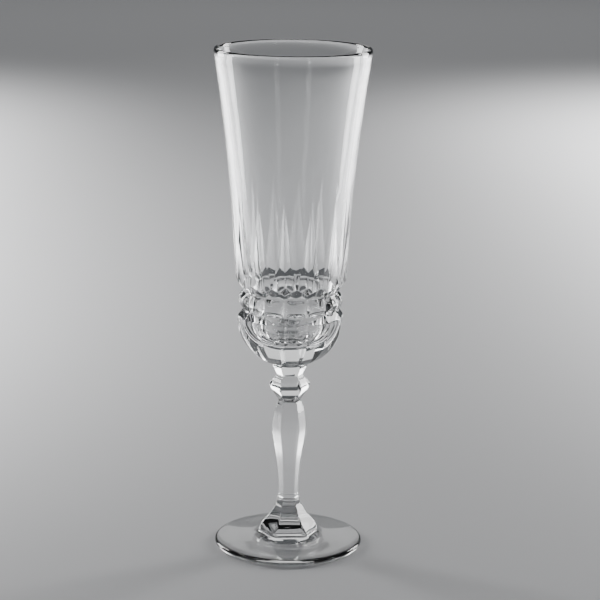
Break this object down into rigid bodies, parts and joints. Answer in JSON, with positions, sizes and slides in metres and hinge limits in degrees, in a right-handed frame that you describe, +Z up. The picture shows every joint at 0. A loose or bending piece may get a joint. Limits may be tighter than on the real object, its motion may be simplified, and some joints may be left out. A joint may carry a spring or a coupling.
{
  "type": "champagne flute",
  "caption": "Clear cut-crystal champagne flute: flared bowl with pointed cuts, bead ring and faceted cup on a six-sided knop, baluster stem and thin round foot.",
  "frame": {"origin": "centre of the foot's underside, on the plane that the flute stands on", "axes": "+Z up along the axis of the glass; one bead of the waist ring faces -Y, and the six-sided stem is turned 2.7 degrees from a flat that faces -Y"},
  "size_m": [0.0616, 0.0616, 0.2],
  "materials": {
    "bowl_crystal": "clear fire-polished crystal with bright polished cuts",
    "stem_crystal": "clear polished crystal facets",
    "foot_crystal": "clear fire-polished crystal, lightly worn on the resting ring"
  },
  "bodies": {
    "root": {"bowl": "bowl_crystal", "knop": "stem_crystal", "stem": "stem_crystal", "foot": "foot_crystal"}
  },
  "joints": []
}
